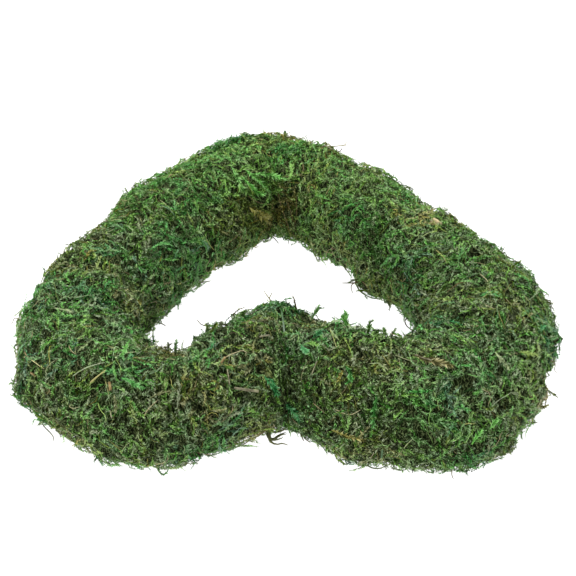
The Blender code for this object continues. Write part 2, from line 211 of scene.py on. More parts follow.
# Bare strands that lie on the moss, the first of them a tan pod: (hue, light, thickness, pixels)
LAID_STRANDS = (
    (91, 74, 5.6, 434, 222, 437, 223, 441, 224),
    (82, 58, 1.1, 90.5, 382.5, 98, 376, 106.5, 369.5),
    (82, 79, 0.56, 24, 357, 30, 359, 36, 363, 42, 368, 46, 369),
    (58, 68, 0.5, 73, 376, 81, 370, 93, 365, 107, 362),
    (84, 62, 0.4, 69, 346, 71, 351, 77, 355),
    (72, 70, 0.6, 126, 353, 135, 352, 143, 351, 152, 351),
    (88, 62, 0.48, 144, 417, 146, 412, 150, 407, 159, 399),
    (64, 69, 0.4, 98, 403, 100, 410, 106, 416, 106, 424),
    (88, 74, 0.48, 226, 357, 234, 353, 243, 350, 247, 352, 245, 358),
    (90, 60, 0.4, 313, 403, 319, 408, 326, 414),
    (85, 62, 0.48, 334, 409, 339, 411, 345, 414, 352, 415, 362, 409),
    (70, 79, 0.4, 397, 457, 402, 451, 406, 445, 414, 438),
    (58, 64, 0.44, 493, 405, 500, 399, 508, 395, 512, 391),
    (84, 79, 0.4, 465, 325, 471, 326, 478, 326, 489, 324),
    (88, 76, 0.48, 480, 274, 485, 278, 489, 283),
    (92, 52, 0.48, 278, 190, 280, 203, 285, 217, 289, 228, 290, 233),
    (94, 45, 0.4, 296, 196, 297, 208, 296, 220, 293, 231),
    (92, 48, 0.4, 286, 200, 291, 212, 293, 222),
    (90, 52, 0.32, 248, 196, 258, 203, 270, 205, 279, 202),
    (80, 74, 0.32, 214, 250, 208, 243, 205, 234),
    (66, 74, 0.4, 346, 452, 351, 456, 356, 460),
    (72, 69, 0.32, 428, 352, 436, 349, 444, 350, 452, 354),
    (76, 74, 0.32, 330, 330, 334, 339, 337, 349),
    (70, 72, 0.32, 160, 200, 168, 206, 174, 214),
    (80, 69, 0.4, 436, 250, 443, 256, 447, 264),
    (86, 69, 0.32, 480, 300, 487, 306, 496, 309),
)
# Twigs: (thickness, pixels)
TWIGS = (
    (1.5, 231, 387.5, 241, 389, 251, 390.5, 262, 391.5),
    (0.7, 227, 367, 228, 374, 229, 381, 230, 387),
    (0.7, 110, 410, 111, 415, 112, 419),
    (0.9, 258, 337, 264, 336, 271, 335),
    (0.9, 391, 459, 397, 464),
    (0.8, 496, 248, 500, 251, 505, 255),
    (0.8, 322, 145, 328, 147, 335, 151),
    (0.8, 413, 354, 424, 358, 434, 361),
    (0.6, 318, 359, 314, 368, 311, 377),
)
# Husks, orange-brown: (thickness, pixels)
HUSKS = (
    (1.5, 109, 381, 110, 386, 110.5, 391.5),
    (1.3, 220.5, 364, 223, 360, 226, 356.5),
    (1, 30, 372, 32.5, 374, 35, 375.5),
)
# Wisps that stand off the edge of the moss: (hue, light, thickness, size of the leaves, pixels)
WISPS = (
    (86, 44, 1.05, 0, 319, 147, 328, 146.5, 337, 146, 349, 145),
    (86, 40, 1.15, 0, 319, 147, 335, 146.2, 344, 145.4, 348, 143, 344, 139.5),
    (95, 30, 0.98, 1.1, 334, 153, 340, 152, 342, 148),
    (85, 46, 0.95, 0, 272, 303, 269, 298, 265, 293, 263.5, 289),
    (85, 46, 1, 0, 272, 303, 269, 298, 271, 295, 272.5, 291),
    (88, 40, 1.17, 1.5, 296, 310, 295.5, 305, 294, 299, 292.5, 295),
    (40, 62, 1.1, 2.4, 311, 321, 314, 314, 317.5, 309, 320, 304.5),
    (40, 62, 0.9, 2, 311, 321, 316, 311, 321, 308, 325, 308.5),
    (36, 72, 1.2, 3.2, 346, 328, 346, 322, 345, 316, 345.5, 311.5),
    (50, 40, 1.1, 2.4, 368, 334, 368.5, 328, 369.5, 323, 373.5, 320),
    (94, 34, 1.15, 0, 151, 324, 157, 322, 162, 323.5, 166.5, 326.5),
    (60, 40, 0.98, 1.5, 140, 337, 144, 335, 147, 337, 147.5, 341),
    (40, 60, 0.98, 2, 175, 351, 176, 345, 177, 339.5),
    (60, 50, 0.98, 1.9, 168, 352, 169, 346, 167, 342),
    (80, 40, 0.9, 1.2, 232, 317, 236, 311, 240, 309, 246, 307),
    (94, 35, 0.98, 0, 407, 318, 404, 321, 407, 327, 414, 331, 421, 335),
    (90, 40, 0.78, 0, 543, 297, 547, 293.5, 549.5, 296, 546, 298),
    (90, 40, 0.78, 0, 544, 300, 549, 302, 552.5, 303.5, 556, 301.5),
    (88, 45, 0.78, 0, 547, 359, 553, 361, 556, 365, 553.5, 371, 560, 374.5),
    (90, 35, 0.98, 1, 503, 255, 508, 257, 513, 259.5, 518, 262),
    (70, 50, 0.98, 1.8, 545, 388, 550, 392, 554, 394.5, 558, 398),
    (60, 45, 0.98, 1.5, 526, 424, 531, 422.5, 537.5, 422.5),
    (60, 55, 0.78, 1, 508, 438, 513, 442, 513.5, 448, 507, 454),
    (90, 35, 0.78, 0, 452, 464, 452, 470, 451.5, 475, 454, 480),
    (94, 30, 0.98, 0, 121, 461, 127, 463, 136, 464.5, 144.5, 470),
    (20, 50, 0.98, 1.9, 93, 451, 98, 457, 101, 461.5, 103, 466.5),
    (72, 46, 2.2, 1.5, 269, 427, 270, 432, 268.5, 438, 270, 441.5, 273, 443.5),
    (74, 46, 1.5, 1.5, 269, 427, 269, 431, 275, 432.5, 282, 431, 288, 427),
    (72, 46, 1.3, 1.2, 269, 427, 270, 438, 273, 441, 278, 436.7, 282, 434.4, 287, 434),
    (72, 46, 1.2, 1.1, 269, 427, 270, 440, 274, 440.5, 279, 439, 282, 438.3, 283.5, 436.5),
    (76, 44, 1.3, 1.1, 269, 427, 270, 442, 276.7, 445, 282, 442.8, 288.5, 445.5),
    (74, 42, 1.3, 1, 267, 427, 262, 430.5, 256, 433, 250, 432.5),
    (76, 42, 1.2, 0.9, 271, 427, 277, 430, 283, 430.5, 286, 428),
    (72, 40, 1.4, 0.9, 268, 427, 266, 434, 269, 439, 274, 439, 277, 436, 281, 434, 287, 432),
    (90, 36, 1, 0, 266, 430, 258, 436.7, 252, 438.3, 246.7, 442.8, 239, 446.7, 226, 451),
    (88, 36, 1.17, 0, 250, 432, 256, 435, 263, 433, 269, 428),
    (92, 30, 1.17, 0, 301, 432, 302, 436.7, 302.8, 439, 304, 441.5),
    (92, 34, 1.04, 0, 302, 432, 307, 436.7, 312, 436),
    (92, 30, 1.04, 0, 303, 432, 304, 438, 308, 441, 311, 443),
    (34, 55, 1.17, 1.6, 156, 464, 159, 472, 163, 475, 167, 473, 169, 466),
    (60, 50, 1.04, 1.2, 364, 463, 371, 468, 380, 469, 387, 465),
    (70, 40, 0.98, 1.1, 61, 431, 65, 435, 68, 437, 71, 440),
    (88, 38, 1.1, 0.5, 225, 324, 218, 325, 210, 325.7, 201, 325.5, 196, 318),
    (94, 32, 1.1, 0, 197, 284, 203, 282, 211, 281),
    (62, 42, 1.17, 1.9, 205, 334, 208, 328, 206, 323),
    (66, 42, 1.17, 1.9, 211, 333, 214, 327, 218, 323),
    (58, 45, 1.17, 1.9, 218, 331, 222, 327, 221, 321),
    (60, 45, 1.17, 2, 376, 296, 367, 291, 360, 287, 355, 284),
    (66, 42, 1.17, 1.8, 371, 291, 363, 290, 356, 291),
    (60, 42, 1.17, 1.8, 362, 279, 355, 279, 348, 283),
    (50, 45, 1.17, 1.9, 382, 340, 385, 332, 383, 327),
    (56, 45, 1.17, 1.9, 391, 340, 393, 333, 396, 328),
    (60, 45, 1.17, 1.9, 504, 261, 512, 261, 519, 263, 524, 267),
    (66, 42, 1.17, 1.8, 510, 270, 517, 263, 522, 260),
    (34, 60, 1.1, 2.4, 226, 256, 231, 259, 237, 261, 243, 258, 244, 253, 239, 249),
    (30, 56, 1, 2.2, 226, 252, 233, 253, 239, 256, 241, 260),
    (94, 25, 0.98, 0, 272, 236, 276, 240, 279, 244),
    (94, 25, 0.78, 0, 289, 234, 289, 239, 288, 245),
    (90, 40, 0.78, 0, 14, 317, 13, 322, 10, 325),
    (80, 40, 0.78, 1, 41, 421, 44, 427, 50, 432, 55, 439, 52, 442),
    (62, 45, 1, 1.4, 340, 262, 345, 268, 349, 273, 352, 278),
    (92, 34, 1.1, 0, 360, 281, 355, 283, 350, 283, 341, 283),
    (92, 34, 0.95, 0, 360, 281, 353, 283, 350.5, 287, 353, 294),
    (66, 46, 1.2, 0.8, 356, 284, 358, 289, 363, 294, 371, 298, 380, 299, 388, 299),
    (60, 50, 1.17, 2.2, 384, 296, 388, 301, 391, 306, 389, 310),
    (50, 50, 0.98, 1.9, 243, 139, 242, 135, 246, 132),
    (50, 50, 0.98, 1.9, 283, 137, 286, 134, 284, 131),
    (60, 50, 0.78, 1.6, 130, 194, 126, 191, 125, 187),
    (60, 50, 0.78, 1.6, 404, 187, 409, 187, 414, 190),
)

# Single stalks. Lights are places up the map of moss colours, from dark at 0 to pale at 1
STALK_VALUES = 4
LAID_HEIGHT = 4.4 * MM
LAID_POINTS = 10
LAID_LEAFLETS = 64
LAID_SIDES = 5
LAID_STEM_MM = 0.7
LAID_LEAF_SCALE = 1.1
LAID_LEAF_WIDTH = 0.20
LAID_SPREAD = 1.05
LAID_STEM_DARKER = 0.14
# Single stalks are painted darker at the root and lighter towards the tip: painted shade and a painted
# highlight
LAID_ROOT_DARKER = 0.10
LAID_LIGHT_RISE = 0.14
LAID_LIGHT_RANGE = (0.04, 0.97)
LAID_TAPER = 0.6
CORNER_CUT = 0.25
CORNER_PASSES = 2
DIP_SHARE = 0.12
DIP_START = 0.35
EVENING_PASSES = 6
EVENING_WEIGHTS = (0.25, 0.5, 0.25)
WISP_DRIFT_MM = 1.5
TWIG_HEIGHT = 4.8 * MM
TWIG_SIDES = 7
TWIG_UNEVEN = (0.8, 1.12)
TWIG_END_LENGTH = 0.04
TWIG_END_WIDTH = 0.1

# Fronds that cover the moss, of three kinds: feathers, tighter cords, and bare strands. The ranges of their
# random values are in mm, apart from how far they wander and how far their leaves open
SEED = 5
SEED_STEP = 100
FROND_POINTS = 6
FROND_SIDES = 2
PER_CM2 = dict(feather=4.4, cord=7.0, strand=1.7)
CM2_PER_M2 = 1e4
FEATHER = dict(length=(7, 17), wander=(1.0, 2.4), stem=(0.18, 0.28), leaf=(1.4, 2.2), open=(0.65, 1.0))
CORD = dict(length=(6, 13), wander=(1.5, 3.2), stem=(0.24, 0.36), leaf=(1.0, 1.7), open=(0.6, 1.2))
STRAND = dict(stem=(0.14, 0.26))
LEAF_WIDTHS = dict(feather=0.17, cord=0.24)
FROND_TAPER = 0.5
FIRST_SIDE = 0.25
ROOT_DEPTH = 0.8 * MM
ROOT_SHARE = 0.3
TIP_CURVE = 2.2
TOP_LAYER = 3.4 * MM
STANDING_SHARE = 0.09
STANDING_LIFT = (2, 5)
LYING_LIFT = (-0.8, 0.8)
UNDER_HEIGHT = 5 * MM
UNDER_LAYER = 0.2
UNDERSIDE_SHARE = 0.18

# Smooth noises: the size of their features, and a shift that keeps each apart from the others
CLUMP_NOISE = (7.5 * MM, 2.3)
FLOW_NOISE = (40 * MM, 7.7)
LOCK_NOISE = (12 * MM, 31.3)
TURN_SIZE = 5 * MM
TURN_SHIFT = 3.7
TURN_SHIFT_STEP = 2
# How closely the fronds stand, from clump to clump
CLUMP_MIDDLE = 0.85
CLUMP_SWING = 0.8
CLUMP_RANGE = (0.4, 1.4)
# Headings turn less on the sides of the tube than on top
SIDE_FROM = 0.75
FLOW_TURN = 3.2
FLOW_TURN_SIDE_LESS = 2.4
LOCK_TURN = 1.8
HEADING_SPREAD = 0.7
HEADING_SPREAD_SIDE_LESS = 0.25

# Colours of the fronds: a middle, patches of noise as (height, size, shift), and random spreads
HUE_MIDDLE = 0.47
HUE_NOISES = ((0.42, 24 * MM, 11.3), (0.30, 9 * MM, 5.1))
HUE_HIGHEST = 0.76
HUE_SPREAD = 0.05
HUE_JITTER = 0.03
HUE_RANGE = (0.01, 0.99)
STRAND_HUE = 0.86
STRAND_HUE_SPREAD = 0.07
STRAND_DARKER = 0.08
# Fronds deep in the tangle are darker and those on top lighter: partly painted shade, partly older, darker
# moss
LIGHT_BOTTOM = 0.42
LIGHT_BY_LEVEL = 0.26
LIGHT_NOISES = ((0.06, 9 * MM, 21.7), (0.06, 30 * MM, 17.9))
LIGHT_SPREAD = 0.05
LIGHT_RANGE = (0.04, 0.96)
PALE_SHARE = 0.08
PALE_LIGHTER = 0.22
# Fronds low down are painted lighter: painted light thrown up from the floor
PAINTED_FLOOR_LIGHT = 0.24
PAINTED_FLOOR_LIGHT_REACH = 24 * MM
# A frond and its stem are painted darker at the root, deep in the moss, and lighter towards the tip: painted
# shade and a painted highlight
FROND_ROOT_DARKER = 0.16
FROND_LIGHT_RISE = 0.24
STEM_DARKER = 0.08
STEM_LIGHT_RISE = 0.02
STEM_TIP_LIGHTER = 0.03
UV_NAME = "OFBake"
UV_HALF_WIDTH = 0.004
# Hues on the ramp that are the most vivid, and the dull ones between them. Moss further back is more vivid
VIVID_HUES = np.array((0.08, 0.22, 0.37, 0.51, 0.65, 0.78, 0.92))
DULL_HUES = np.array((0.15, 0.30, 0.44, 0.58, 0.72, 0.85))
VIVID_FROM = -0.03
VIVID_REACH = 0.11
VIVID_PULL = 0.5
DULL_PULL = 0.06

# Leaves, in two ranks along a frond. They are shortest at its ends, and outside LEAF_ENDS no shorter still
LEAFLETS = 38
LEAF_FIRST = 0.03
LEAF_RUN = 0.95
LEAF_STAGGER = (0.1, 0.9)
LEAF_ROLL = (-0.5, 1.5)
LEAF_OPENING = (0.55, 1.35)
LEAF_LENGTH = (0.7, 1.3)
LEAF_ENDS = (0.10, 0.90)
LEAF_CROWN = 0.5
LEAF_DROOP = 0.10
LEAF_HUE_SPREAD = 0.008
LEAF_LIGHT_SPREAD = 0.37
LEAF_LIGHT_RANGE = (0.06, 0.92)
# A leaf is painted darker at its root and lighter at its tip: painted shade and a painted highlight
LEAF_ROOT_DARKER = 0.38
LEAF_ROOT_DARKEST = 0.02
LEAF_TIP_LIGHTER = 0.08

# Stage: lamps as (name, place, size, power), all aimed at the middle of the wreath
LAMPS = (
    ("above_behind", (0.35, 0.9, 1.4), 0.8, 44),
    ("low_front", (-0.2, -1.3, 0.25), 1.0, 4),
    ("low_left", (-1.1, -0.5, 0.5), 1.0, 10),
)
SKY_STRENGTH = 0.66
FLOOR_SIZE = 12
FLOOR_DROP = 0.2 * MM
FLOOR_GREY = 0.25
FLOOR_GLOW = 1.1


def linear(r, g, b):
    """A colour given as 0 to 255 on screen, as light."""
    shares = (c / 255 for c in (r, g, b))
    return tuple(c / 12.92 if c < 0.04045 else ((c + 0.055) / 1.055) ** 2.4 for c in shares)


def screen(*stops):
    """Stops for a ramp, from rows of a place on it and a colour given as 0 to 255 on screen."""
    return [(place, linear(*colour)) for place, *colour in stops]


def grey(share):
    return share, share, share


# Colours for the ramps, each with its place on the ramp
MOSS_HUES = screen(
    (0.00, 50, 134, 92), (0.08, 30, 180, 82), (0.15, 118, 162, 134), (0.22, 62, 198, 52),
    (0.30, 138, 170, 124), (0.37, 92, 202, 34), (0.44, 154, 178, 134), (0.51, 130, 208, 38),
    (0.58, 170, 184, 148), (0.65, 160, 204, 38), (0.72, 178, 184, 132), (0.78, 184, 180, 38),
    (0.85, 204, 194, 146), (0.92, 170, 140, 90), (1.00, 92, 80, 60),
)
MOSS_LIGHTS = (
    (0.00, (0.045, 0.048, 0.022)),
    (0.25, (0.17, 0.177, 0.130)),
    (0.50, (0.56, 0.56, 0.54)),
    (0.75, (0.98, 0.98, 0.97)),
    (1.00, grey(1.00)),
)
MOSS_SPOTS = ((0.30, grey(0.72)), (0.55, grey(1.0)))
# How far the lightest leaves are paled towards a grey-green: a painted highlight
PAINTED_HIGHLIGHT_PALING = ((0.0, grey(0.0)), (0.5, grey(0.12)), (1.0, grey(0.42)))
PAINTED_HIGHLIGHT_PALE = linear(204, 206, 186)
# The bed's dark colours are partly the matted moss's own and partly painted shade in the gaps between the
# fronds
BED_STOPS = screen((0.15, 24, 34, 10), (0.45, 42, 56, 24), (0.70, 74, 98, 58), (0.90, 108, 122, 80))
BED_SHADES = ((0.35, (0.45, 0.42, 0.40)), (0.65, grey(1.0)))
BARK_STOPS = screen((0.3, 76, 73, 52), (0.5, 114, 110, 88), (0.7, 146, 145, 112))
HUSK_STOPS = screen((0.3, 84, 68, 40), (0.5, 124, 104, 66), (0.7, 156, 140, 98))
STRAW_STOPS = screen((0.3, 120, 92, 50), (0.6, 176, 146, 84), (0.8, 205, 180, 120))
THREAD_STOPS = screen((0.3, 40, 70, 40), (0.7, 74, 104, 66))


def unit(v):
    return v / np.maximum(np.linalg.norm(v, axis=-1, keepdims=True), TINY)


def ease(t):
    t = np.clip(t, 0.0, 1.0)
    return t * t * (3 - 2 * t)


def near(places, middle, reach):
    """How near each place is to a middle: 1 there, and towards 0 beyond the reach."""
    apart = np.linalg.norm(places - middle, axis=1)
    return np.exp(-((apart / reach) ** 2))


def noise_at(points, size, shift=0.0):
    """Smooth noise of about -1 to 1 at each point, with features of the given size."""
    return np.array([noise.noise(Vector(p) / size + Vector((shift, shift, shift))) for p in points])


def noises_at(points, noises):
    """The sum of smooth noises, each given as (height, size, shift)."""
    return sum(height * noise_at(points, size, shift) for height, size, shift in noises)


# Guides: the camera's lines of sight, the tube's middle line, and the seams between the clumps


class Sight:
    """The camera's view, for placing what the photograph shows at one of its pixels."""

    def __init__(self):
        azimuth, elevation = math.radians(CAMERA_AZIMUTH_DEG), math.radians(CAMERA_ELEVATION_DEG)
        flat = Vector((-math.sin(azimuth), math.cos(azimuth), 0))
        self.ahead = flat * math.cos(elevation) - Vector((0, 0, math.sin(elevation)))
        self.right = Vector((math.cos(azimuth), math.sin(azimuth), 0))
        self.up = self.right.cross(self.ahead)
        self.eye = Vector(CAMERA_AIM) - self.ahead * CAMERA_DISTANCE

    def towards(self, pixel):
        across, down = pixel[0] - FRAME_PX / 2, pixel[1] - FRAME_PX / 2
        return (self.ahead * CAMERA_FOCAL_PX + self.right * across - self.up * down).normalized()

    def pixel_of(self, place):
        from_eye = place - self.eye
        per_px = from_eye.dot(self.ahead) / CAMERA_FOCAL_PX
        across, up = from_eye.dot(self.right) / per_px, from_eye.dot(self.up) / per_px
        return FRAME_PX / 2 + across, FRAME_PX / 2 - up


class MiddleLine:
    """The closed line along the middle of the tube."""

    def __init__(self, node):
        places = np.array([v.co for v in node.data.vertices])
        low, high = places[:, 2].min(), places[:, 2].max()
        crest = places[places[:, 2] > high - CREST_DEPTH]
        crest = np.unique(crest.round(CREST_DIGITS), axis=0)
        order = np.argsort(np.arctan2(crest[:, 1], crest[:, 0]))
        self.points = crest[order] * [1, 1, 0] + [0, 0, (low + high) / 2]
        self.steps = np.roll(self.points, -1, axis=0) - self.points

    def around(self, places):
        """For each place: (outwards from the line, along the line, round the tube)."""
        apart = places[:, None] - self.points[None]
        share = (apart * self.steps).sum(-1) / (self.steps**2).sum(-1)
        share = np.clip(share, 0, 1)
        nearest = self.points + self.steps * share[..., None]
        away = np.linalg.norm(places[:, None] - nearest, axis=-1)
        best = away.argmin(axis=1)
        rows = np.arange(len(places))
        along = unit(self.steps[best])
        outwards = places - nearest[rows, best]
        outwards = unit(outwards - along * (outwards * along).sum(-1, keepdims=True))
        return outwards, along, np.cross(outwards, along)

    def outwards(self, places):
        """Only the way outwards, for an array of places of any shape."""
        return self.around(places.reshape(-1, 3))[0].reshape(places.shape)


class Seams:
    """The upright planes between the clumps, one at each turn of thread. The first is in the cleft."""

    def __init__(self, threads):
        rings = [np.array([v.co for v in thread.data.vertices]) for thread in threads]
        self.middles = np.array([(ring.max(axis=0) + ring.min(axis=0)) / 2 for ring in rings])
        self.normals = np.array([np.linalg.svd(ring - ring.mean(axis=0))[2][2] for ring in rings])

    def nearest(self, places):
        """For each place: (which seam is nearest, how far beyond its plane the place lies)."""
        apart = places[:, None] - self.middles[None]
        beyond = (apart * self.normals).sum(-1)
        reached = np.linalg.norm(apart, axis=-1) < THREAD_REACH
        which = np.where(reached, np.abs(beyond), OUT_OF_REACH).argmin(axis=1)
        return which, beyond[np.arange(len(places)), which]


# Beds


def mesh_from(name, vertices, faces, material, uv=None):
    mesh = bpy.data.meshes.new(name)
    mesh.vertices.add(len(vertices))
    mesh.vertices.foreach_set("co", np.asarray(vertices, np.float32).ravel())
    mesh.loops.add(faces.size)
    mesh.loops.foreach_set("vertex_index", np.asarray(faces, np.int32).ravel())
    mesh.polygons.add(len(faces))
    mesh.polygons.foreach_set("loop_start", np.arange(0, faces.size, 3, dtype=np.int32))
    if uv is not None:
        layer = mesh.uv_layers.new(name=UV_NAME)
        layer.data.foreach_set("uv", np.asarray(uv[faces.ravel()], np.float32).ravel())
    mesh.update(calc_edges=True)
    mesh.validate()
    mesh.shade_smooth()
    mesh.materials.append(material)
    piece = bpy.data.objects.new(name, mesh)
    bpy.context.scene.collection.objects.link(piece)
    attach(piece, "root")
    return piece


def remeshed(node):
    """A finer, smoother copy of a node's mesh: (vertices, triangles)."""
    copy = bpy.data.objects.new("bed_copy", node.data.copy())
    bpy.context.scene.collection.objects.link(copy)
    remesh = copy.modifiers.new("remesh", "REMESH")
    remesh.mode = "VOXEL"
    remesh.voxel_size = BED_VOXEL
    smooth = copy.modifiers.new("smooth", "SMOOTH")
    smooth.factor = BED_SMOOTH_FACTOR
    smooth.iterations = BED_SMOOTHING
    copy.modifiers.new("triangulate", "TRIANGULATE")
    mesh = copy.evaluated_get(bpy.context.evaluated_depsgraph_get()).to_mesh()
    vertices = np.empty(len(mesh.vertices) * 3)
    mesh.vertices.foreach_get("co", vertices)
    faces = np.empty(len(mesh.polygons) * 3, np.int32)
    mesh.polygons.foreach_get("vertices", faces)
    bpy.data.objects.remove(copy)
    return vertices.reshape(-1, 3), faces.reshape(-1, 3)


def bed_of(node, middle_line, seams):
    """A lumpy bed with the form of a clump, which meets its neighbours: (vertices, triangles)."""
    vertices, faces = remeshed(node)
    which, beyond = seams.nearest(vertices)
    lift = SEAM_LIFT * ease(1 - np.abs(beyond) / SEAM_REACH) * np.where(which == 0, CREASE_SHARE, 1.0)
    for height, size in BED_LUMPS:
        lift = lift + height * noise_at(vertices, size)
    middle, reach, depth = HOLLOW
    lift = lift - BED_SINK - depth * near(vertices, middle, reach)
    above = np.clip((vertices[:, 2] - FOOT_HEIGHT) / FOOT_BLEND, 0, 1)
    moved = vertices + middle_line.outwards(vertices) * (lift * above)[:, None]
    across = np.where(np.abs(beyond) < SEAM_END, -(beyond + np.sign(beyond) * SEAM_OVERLAP), 0.0)
    moved += seams.normals[which] * across[:, None]
    moved[:, 2] = np.maximum(moved[:, 2], 0.0)
    return moved, faces


def outside_of(vertices, faces, middle_line):
    """The faces of a bed that look away from the middle line: (faces, middles, areas)."""
    corners = vertices[faces]
    normals = np.cross(corners[:, 1] - corners[:, 0], corners[:, 2] - corners[:, 0])
    middles = corners.mean(axis=1)
    facing = (unit(normals) * middle_line.outwards(middles)).sum(-1) > OUTSIDE_FACING
    return faces[facing], middles[facing], np.linalg.norm(normals[facing], axis=1) / 2


class Skin:
    """The outside of all the beds together, which fronds creep over."""

    def __init__(self, beds, middle_line, sight):
        self.middle_line, self.sight = middle_line, sight
        vertices, faces, count = [], [], 0
        for bed_vertices, bed_faces in beds:
            facing, _, _ = outside_of(bed_vertices, bed_faces, middle_line)
            vertices.append(bed_vertices)
            faces.append(facing + count)
            count += len(bed_vertices)
        self.tree = BVHTree.FromPolygons(np.vstack(vertices).tolist(), np.vstack(faces).tolist())

    def under(self, places):
        """The nearest place on the skin to each place."""
        return np.array([self.tree.find_nearest(Vector(p))[0] for p in places])

    def seen(self, pixel):
        """The place on the skin seen at a pixel of the photograph, or at the nearest that shows any."""
        for gap in range(SEARCH_PX):
            for angle in np.linspace(0, 2 * math.pi, SEARCH_TURNS * gap + 1):
                tried = pixel[0] + gap * math.cos(angle), pixel[1] + gap * math.sin(angle)
                place = self.tree.ray_cast(self.sight.eye, self.sight.towards(tried))[0]
                if place is not None:
                    return place
        raise ValueError(f"no moss near {pixel}")


def swelled(beds, middle_line, sight):
    """The beds pushed out or in where the photograph's outline asks for it."""
    skin = Skin(beds, middle_line, sight)
    middles = np.array([skin.seen(row[:2]) for row in SWELLS])
    ways = middle_line.outwards(middles)
    moved = []
    for vertices, faces in beds:
        shift = np.zeros_like(vertices)
        for middle, way, (_, _, reach, height) in zip(middles, ways, SWELLS):
            shift += near(vertices, middle, reach * MM)[:, None] * way * (height * MM)
        vertices = vertices + shift
        vertices[:, 2] = np.maximum(vertices[:, 2], 0.0)
        moved.append((vertices, faces))
    return moved


class Patches:
    """Patches of like colour on the moss, and spots of painted light and shade, each round the place that is
    seen at its pixel.
    """

    def __init__(self, skin):
        self.tinted = [np.array(skin.seen(row[:2])) for row in PATCHES]
        self.shaded = [np.array(skin.seen(row[:2])) for row in PAINTED_LIGHT_AND_SHADE]

    def tint(self, places, hues, lights):
        for middle, (_, _, reach, *colour) in zip(self.tinted, PATCHES):
            hue, change, strength = (value / HUNDREDTHS for value in colour)
            share = strength * near(places, middle, reach * MM)
            hues = hues + (hue - hues) * share
            # The change of light is partly painted light and shade
            lights = lights + change * share
        # Spots of painted light and shade
        for middle, (_, _, reach, change) in zip(self.shaded, PAINTED_LIGHT_AND_SHADE):
            lights = lights + change / HUNDREDTHS * near(places, middle, reach * MM)
        return hues, lights


# Stems and leaves


def creep(roots, heading, lengths, heights, wander, skin):
    """Paths that creep over the skin: (count, points, 3). heights is (count, points)."""
    count = heights.shape[1]
    step = (lengths / (count - 1))[:, None]
    paths = np.empty((len(roots), count, 3))
    places = roots
    for k in range(count):
        foot = skin.under(places)
        outwards, along, round_tube = skin.middle_line.around(foot)
        paths[:, k] = foot + outwards * heights[:, k : k + 1]
        paths[:, k, 2] = np.maximum(paths[:, k, 2], LOWEST)
        heading = heading + wander * noise_at(foot, TURN_SIZE, TURN_SHIFT + TURN_SHIFT_STEP * k)
        towards = along * np.cos(heading)[:, None] + round_tube * np.sin(heading)[:, None]
        places = foot + towards * step
    return paths


def frames_along(paths, facing):
    """Unit vectors along each path, to its side and up from it. Up is turned towards facing."""
    ahead = unit(np.gradient(paths, axis=1))
    side = unit(np.cross(ahead, facing))
    return ahead, side, np.cross(side, ahead)


def repeat(vertices, faces, uv):
    """Joins like shapes: (count, n, 3) vertices with one list of faces."""
    count, each, _ = vertices.shape
    faces = np.asarray(faces)[None] + (np.arange(count) * each)[:, None, None]
    return vertices.reshape(-1, 3), faces.reshape(-1, 3), uv.reshape(-1, 2)


def stem_faces(points, sides):
    """The triangles of one stem. With two sides it is a ribbon, and otherwise a tube with a pointed tip."""
    faces = []
    turns = sides if sides > 2 else 1
    for k in range(points - 2):
        for i in range(turns):
            a, b = k * sides + i, k * sides + (i + 1) % sides
            c, d = a + sides, b + sides
            faces += [(a, b, d), (a, d, c)]
    last, tip = (points - 2) * sides, (points - 1) * sides
    return faces + [(last + i, last + (i + 1) % sides, tip) for i in range(turns)]


def stems(paths, frames, radii, hues, lights, sides=FROND_SIDES):
    """Tapered stems along the paths: (vertices, faces, uv). lights is (count, points)."""
    _, side, up = frames
    count, points, _ = paths.shape
    angles = 2 * math.pi * (np.arange(sides) + FIRST_SIDE) / sides
    rings = (
        paths[:, :-1, None]
        + side[:, :-1, None] * (np.cos(angles)[:, None] * radii[:, :-1, None, None])
        + up[:, :-1, None] * (np.sin(angles)[:, None] * radii[:, :-1, None, None])
    )
    vertices = np.concatenate([rings.reshape(count, -1, 3), paths[:, -1:]], axis=1)
    across = np.linspace(-1, 1, sides) * UV_HALF_WIDTH
    u = hues[:, None, None] + across[None, None, :] + np.zeros((count, points - 1, 1))
    rise = np.linspace(0, STEM_LIGHT_RISE, points - 1)[None, :, None]
    v = lights[:, :-1, None] + rise + np.zeros_like(u)
    uv = np.stack([u, v], axis=-1).reshape(count, -1, 2)
    tip_uv = np.stack([hues, lights[:, -1] + STEM_TIP_LIGHTER], axis=-1)[:, None]
    uv = np.clip(np.concatenate([uv, tip_uv], axis=1), 0.0, 1.0)
    return repeat(vertices, stem_faces(points, sides), uv)


def leaf_corners(base, frames, share, sizes, width, spreads, rng):
    """The corners of pointed leaves that stand at the bases: (count, each, 3, 3)."""
    forward, sideways, upwards = frames
    rank = np.where(np.arange(share.shape[1]) % 2 == 0, 1.0, -1.0)
    roll = rng.uniform(*LEAF_ROLL, share.shape)
    lateral = sideways * (rank * np.cos(roll))[..., None] + upwards * np.sin(roll)[..., None]
    opening = spreads[:, None, None] * rng.uniform(*LEAF_OPENING, (*share.shape, 1))
    direction = unit(forward + lateral * opening)
    swell = np.sin(math.pi * np.clip(share, *LEAF_ENDS)) ** LEAF_CROWN
    length = (sizes[:, None] * swell * rng.uniform(*LEAF_LENGTH, share.shape))[..., None]
    blade = unit(np.cross(direction, np.cross(lateral, forward)))
    thick = unit(np.cross(direction, blade))
    half = length * width
    tip = base + direction * length - thick * length * LEAF_DROOP
    corners = np.stack([base + blade * half, tip, base - blade * half], axis=2)
    corners[..., 2] = np.maximum(corners[..., 2], LOWEST)
    return corners


